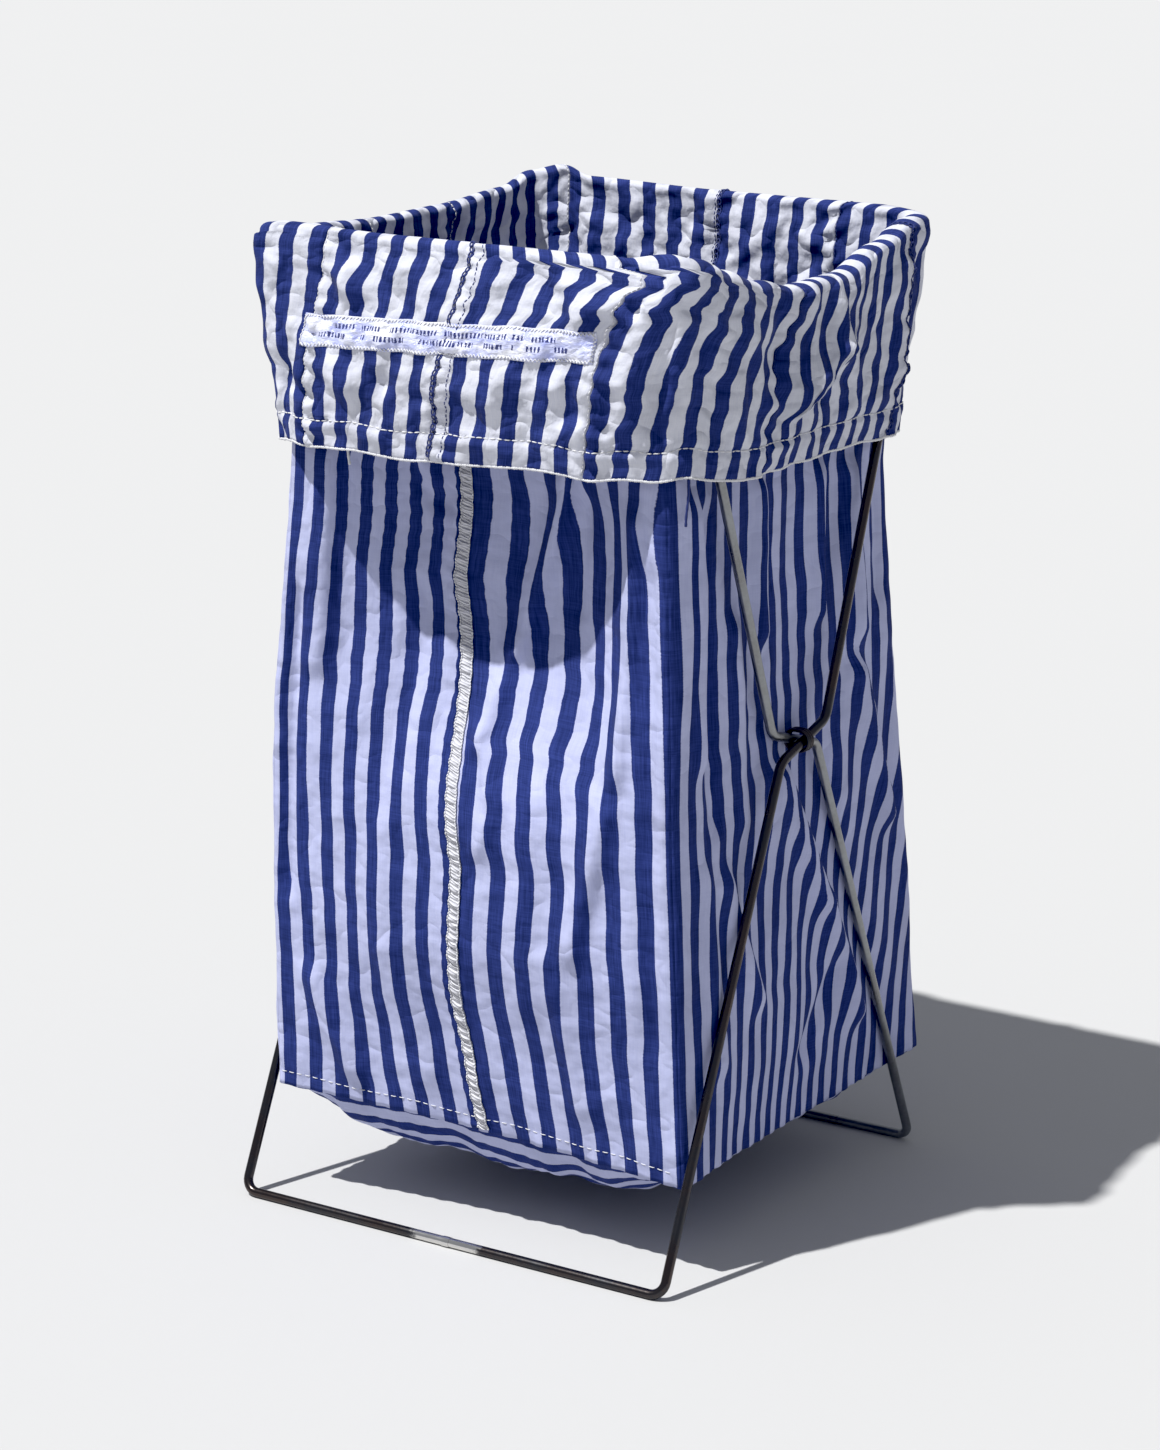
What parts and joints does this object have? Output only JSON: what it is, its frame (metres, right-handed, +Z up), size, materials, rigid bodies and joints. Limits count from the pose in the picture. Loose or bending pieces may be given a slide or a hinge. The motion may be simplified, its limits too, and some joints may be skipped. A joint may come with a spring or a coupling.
{
  "type": "mail sack on folding wire stand",
  "caption": "Striped cloth sack with a turned-down cuff, hung on two crossed loops of bare steel wire that fold flat.",
  "frame": {"origin": "on the floor, under the middle of the stand: the centre of the bounding box's underside", "axes": "+X along the bars to the right, +Y to the rear, +Z up"},
  "size_m": [0.3116, 0.3226, 0.6111],
  "materials": {
    "steel_bright": "bare drawn wire, satin",
    "steel_dark": "bare drawn wire, satin, slightly darker",
    "weld": "ground butt weld",
    "winding": "dark annealed wire",
    "stripe_body": "blue and white striped cotton shirting",
    "stripe_band": "blue and white striped cotton shirting, pieced",
    "serging": "white overlocked seam allowance",
    "label": "white woven satin",
    "thread_dark": "twisted overlock thread",
    "thread_white": "overlock thread"
  },
  "bodies": {
    "rear_frame": {"rear_top_frame": "steel_dark", "front_foot_weld": "weld"},
    "front_frame": {"front_top_frame": "steel_bright", "rear_foot_weld": "weld"},
    "pivot_rings": {"pivot_ring_right": "winding", "pivot_ring_left": "winding"},
    "sack": {"body_front_left_panel": "stripe_body", "body_front_right_panel": "stripe_body", "body_right_panel": "stripe_body", "body_rear_panel": "stripe_body", "body_left_panel": "stripe_body", "bottom_panel": "stripe_body", "front_serged_seam": "serging", "rear_serged_seam": "serging", "band_front_1": "stripe_band", "band_front_2": "stripe_band", "band_front_3": "stripe_band", "band_corner_front_right": "stripe_band", "band_right": "stripe_band", "band_corner_rear_right": "stripe_band", "band_rear_1": "stripe_band", "band_rear_2": "stripe_band", "band_corner_rear_left": "stripe_band", "band_left": "stripe_band", "band_corner_front_left": "stripe_band", "woven_label": "label", "thread_tail_right": "thread_dark", "thread_tail_left": "thread_white"}
  },
  "joints": [
    {"name": "fold", "type": "hinge", "parent": "rear_frame", "child": "front_frame", "pos_m": [0, 0, 0.306], "axis": [-1, 0, 0], "range_deg": [0, 50.7], "deforming": ["body_front_left_panel", "body_front_right_panel", "body_right_panel", "body_rear_panel", "body_left_panel", "bottom_panel", "front_serged_seam", "rear_serged_seam", "band_front_1", "band_front_2", "band_front_3", "band_corner_front_right", "band_right", "band_corner_rear_right", "band_rear_1", "band_rear_2", "band_corner_rear_left", "band_left", "band_corner_front_left", "woven_label", "pivot_ring_right", "pivot_ring_left", "thread_tail_right", "thread_tail_left"]},
    {"name": "ring_turn", "type": "hinge", "parent": "rear_frame", "child": "pivot_rings", "pos_m": [0, 0, 0.306], "axis": [-1, 0, 0], "range_deg": [0, 25.35]},
    {"name": "sack_rise", "type": "slide", "parent": "pivot_rings", "child": "sack", "axis": [0, 0, 1], "range_m": [0, 0.0341]}
  ],
  "couplings": [
    {"joint": "ring_turn", "follows": "fold", "ratio": 0.5},
    {"joint": "sack_rise", "follows": "fold", "m_per_rad": 0.03842}
  ]
}
